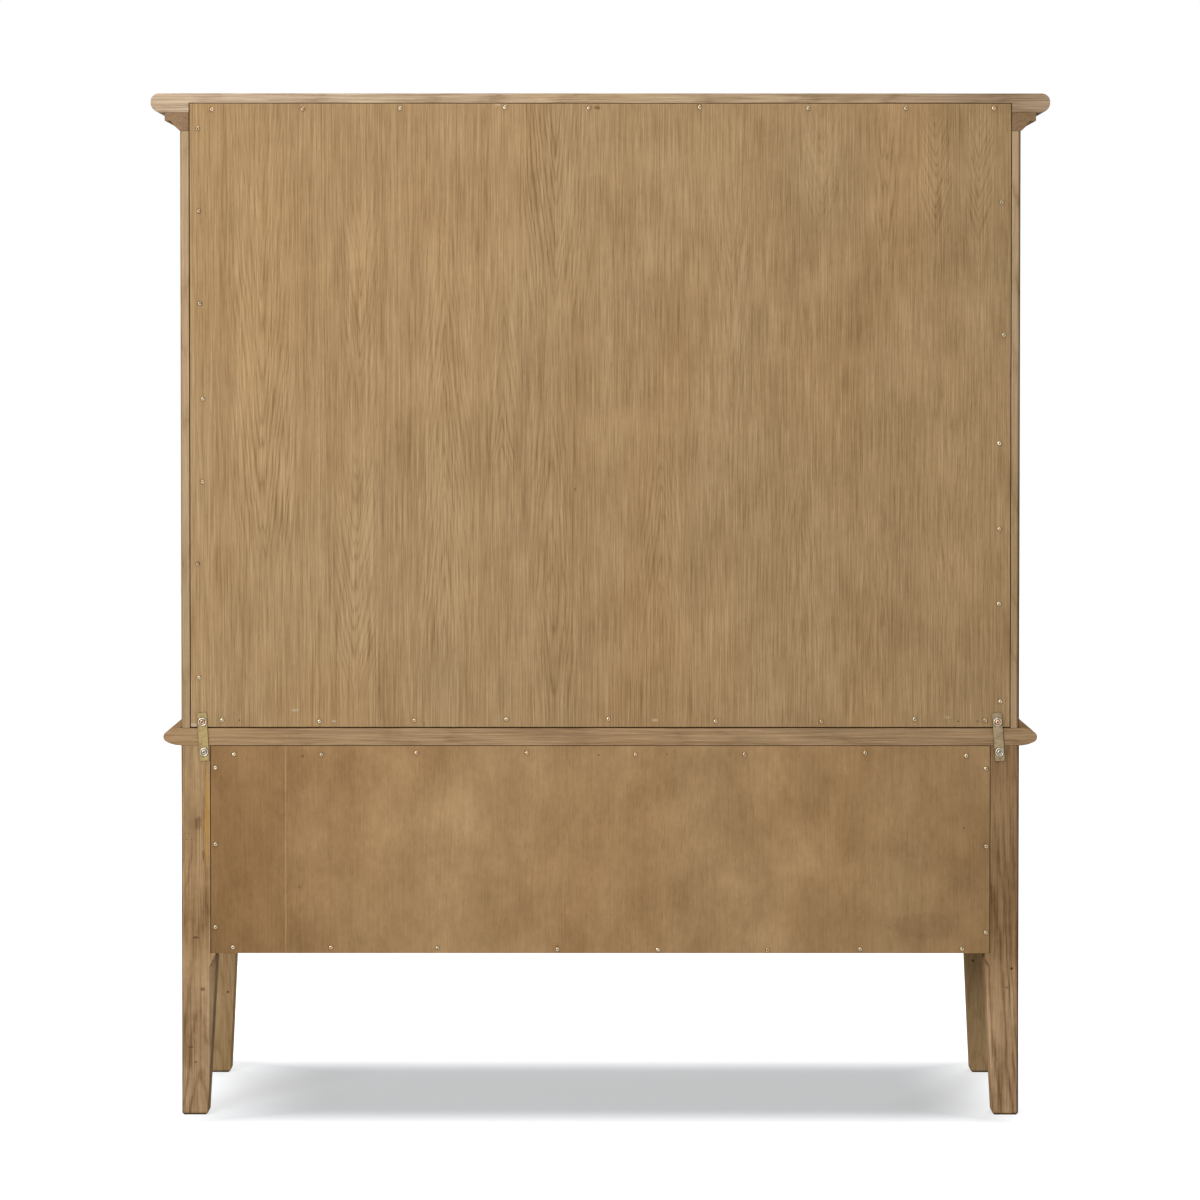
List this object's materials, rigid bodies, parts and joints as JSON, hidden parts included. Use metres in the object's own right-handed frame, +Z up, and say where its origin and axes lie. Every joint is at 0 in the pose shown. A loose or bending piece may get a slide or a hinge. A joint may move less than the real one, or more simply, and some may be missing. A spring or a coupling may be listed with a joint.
{
  "type": "storage cabinet",
  "caption": "Wide wooden storage cabinet in two parts: an upper case with hinged doors over a base with drawers on tapered legs, under a rounded crown board and stepped moulding.",
  "frame": {"origin": "middle of the bounding box round the whole cabinet, at floor level", "axes": "+Z up, +Y to the rear, the doors and drawers face -Y; +X is the right of a person who faces the doors. The two back panels, the side planks' rear edges and the rear legs end in one plane, at Y = 0.23775 m, and the face frame in the plane Y = -0.19225 m."},
  "size_m": [1.604, 0.4884, 1.829],
  "materials": {
    "crown_board": "stained oak, satin",
    "crown_moulding_front": "stained oak, satin",
    "crown_moulding_left": "stained oak, satin",
    "crown_moulding_right": "stained oak, satin",
    "upper_side_left": "stained oak, satin",
    "upper_side_right": "stained oak, satin",
    "upper_rear_cleat_left": "stained oak, satin",
    "upper_rear_cleat_right": "stained oak, satin",
    "face_stile_left": "stained oak, satin",
    "face_stile_right": "stained oak, satin",
    "face_stile_centre": "stained oak, satin",
    "face_top_rail": "stained oak, satin",
    "upper_bottom_board": "stained oak, satin",
    "upper_partition": "stained oak, satin",
    "upper_back_panel": "stained oak, satin",
    "shelves": "stained oak, satin",
    "shelf_battens": "stained oak, satin",
    "back_panel_screws": "zinc plated",
    "strap_left": "satin, slightly dulled",
    "strap_right": "satin, slightly dulled",
    "strap_screws": "satin, slightly dulled",
    "waist_board": "stained oak, satin",
    "rear_leg_left": "stained oak, satin",
    "rear_leg_right": "stained oak, satin",
    "front_leg_left": "stained oak, satin",
    "front_leg_right": "stained oak, satin",
    "base_side_panel_left": "stained oak, satin",
    "base_side_panel_right": "stained oak, satin",
    "base_back_panel": "stained oak, satin",
    "base_bottom_board": "stained oak, satin",
    "base_rear_rail": "stained oak, satin",
    "drawer_divider": "stained oak, satin",
    "drawer_guides": "stained oak, satin",
    "case_hinge_leaves": "satin, slightly dulled",
    "left_outer_door_frame": "stained oak, satin",
    "left_outer_door_panel": "stained oak, satin",
    "left_outer_door_knob": "stained oak, satin",
    "left_outer_door_hinge_leaves": "satin, slightly dulled",
    "left_inner_door_frame": "stained oak, satin",
    "left_inner_door_panel": "stained oak, satin",
    "left_inner_door_knob": "stained oak, satin",
    "left_inner_door_hinge_leaves": "satin, slightly dulled",
    "right_inner_door_frame": "stained oak, satin",
    "right_inner_door_panel": "stained oak, satin",
    "right_inner_door_knob": "stained oak, satin",
    "right_inner_door_hinge_leaves": "satin, slightly dulled",
    "right_outer_door_frame": "stained oak, satin",
    "right_outer_door_panel": "stained oak, satin",
    "right_outer_door_knob": "stained oak, satin",
    "right_outer_door_hinge_leaves": "satin, slightly dulled",
    "left_drawer_front": "stained oak, satin",
    "left_drawer_sides": "stained oak, satin",
    "left_drawer_back": "stained oak, satin",
    "left_drawer_bottom": "stained oak, satin",
    "left_drawer_knobs": "stained oak, satin",
    "right_drawer_front": "stained oak, satin",
    "right_drawer_sides": "stained oak, satin",
    "right_drawer_back": "stained oak, satin",
    "right_drawer_bottom": "stained oak, satin",
    "right_drawer_knobs": "stained oak, satin"
  },
  "bodies": {
    "cabinet": {"crown_board": "crown_board", "crown_moulding_front": "crown_moulding_front", "crown_moulding_left": "crown_moulding_left", "crown_moulding_right": "crown_moulding_right", "upper_side_left": "upper_side_left", "upper_side_right": "upper_side_right", "upper_rear_cleat_left": "upper_rear_cleat_left", "upper_rear_cleat_right": "upper_rear_cleat_right", "face_stile_left": "face_stile_left", "face_stile_right": "face_stile_right", "face_stile_centre": "face_stile_centre", "face_top_rail": "face_top_rail", "upper_bottom_board": "upper_bottom_board", "upper_partition": "upper_partition", "upper_back_panel": "upper_back_panel", "shelves": "shelves", "shelf_battens": "shelf_battens", "back_panel_screws": "back_panel_screws", "strap_left": "strap_left", "strap_right": "strap_right", "strap_screws": "strap_screws", "waist_board": "waist_board", "rear_leg_left": "rear_leg_left", "rear_leg_right": "rear_leg_right", "front_leg_left": "front_leg_left", "front_leg_right": "front_leg_right", "base_side_panel_left": "base_side_panel_left", "base_side_panel_right": "base_side_panel_right", "base_back_panel": "base_back_panel", "base_bottom_board": "base_bottom_board", "base_rear_rail": "base_rear_rail", "drawer_divider": "drawer_divider", "drawer_guides": "drawer_guides", "case_hinge_leaves": "case_hinge_leaves"},
    "left_outer_door": {"left_outer_door_frame": "left_outer_door_frame", "left_outer_door_panel": "left_outer_door_panel", "left_outer_door_knob": "left_outer_door_knob", "left_outer_door_hinge_leaves": "left_outer_door_hinge_leaves"},
    "left_inner_door": {"left_inner_door_frame": "left_inner_door_frame", "left_inner_door_panel": "left_inner_door_panel", "left_inner_door_knob": "left_inner_door_knob", "left_inner_door_hinge_leaves": "left_inner_door_hinge_leaves"},
    "right_inner_door": {"right_inner_door_frame": "right_inner_door_frame", "right_inner_door_panel": "right_inner_door_panel", "right_inner_door_knob": "right_inner_door_knob", "right_inner_door_hinge_leaves": "right_inner_door_hinge_leaves"},
    "right_outer_door": {"right_outer_door_frame": "right_outer_door_frame", "right_outer_door_panel": "right_outer_door_panel", "right_outer_door_knob": "right_outer_door_knob", "right_outer_door_hinge_leaves": "right_outer_door_hinge_leaves"},
    "left_drawer": {"left_drawer_front": "left_drawer_front", "left_drawer_sides": "left_drawer_sides", "left_drawer_back": "left_drawer_back", "left_drawer_bottom": "left_drawer_bottom", "left_drawer_knobs": "left_drawer_knobs"},
    "right_drawer": {"right_drawer_front": "right_drawer_front", "right_drawer_sides": "right_drawer_sides", "right_drawer_back": "right_drawer_back", "right_drawer_bottom": "right_drawer_bottom", "right_drawer_knobs": "right_drawer_knobs"}
  },
  "joints": [
    {"name": "left_outer_door_hinge", "type": "hinge", "parent": "cabinet", "child": "left_outer_door", "pos_m": [-0.704, -0.19665, 1.2235], "axis": [0, 0, -1], "range_deg": [0, 110]},
    {"name": "left_inner_door_hinge", "type": "hinge", "parent": "cabinet", "child": "left_inner_door", "pos_m": [-0.031, -0.19665, 1.2235], "axis": [0, 0, 1], "range_deg": [0, 90]},
    {"name": "right_inner_door_hinge", "type": "hinge", "parent": "cabinet", "child": "right_inner_door", "pos_m": [0.031, -0.19665, 1.2235], "axis": [0, 0, -1], "range_deg": [0, 90]},
    {"name": "right_outer_door_hinge", "type": "hinge", "parent": "cabinet", "child": "right_outer_door", "pos_m": [0.704, -0.19665, 1.2235], "axis": [0, 0, 1], "range_deg": [0, 110]},
    {"name": "left_drawer_slide", "type": "slide", "parent": "cabinet", "child": "left_drawer", "axis": [0, -1, 0], "range_m": [0, 0.3]},
    {"name": "right_drawer_slide", "type": "slide", "parent": "cabinet", "child": "right_drawer", "axis": [0, -1, 0], "range_m": [0, 0.3]}
  ]
}
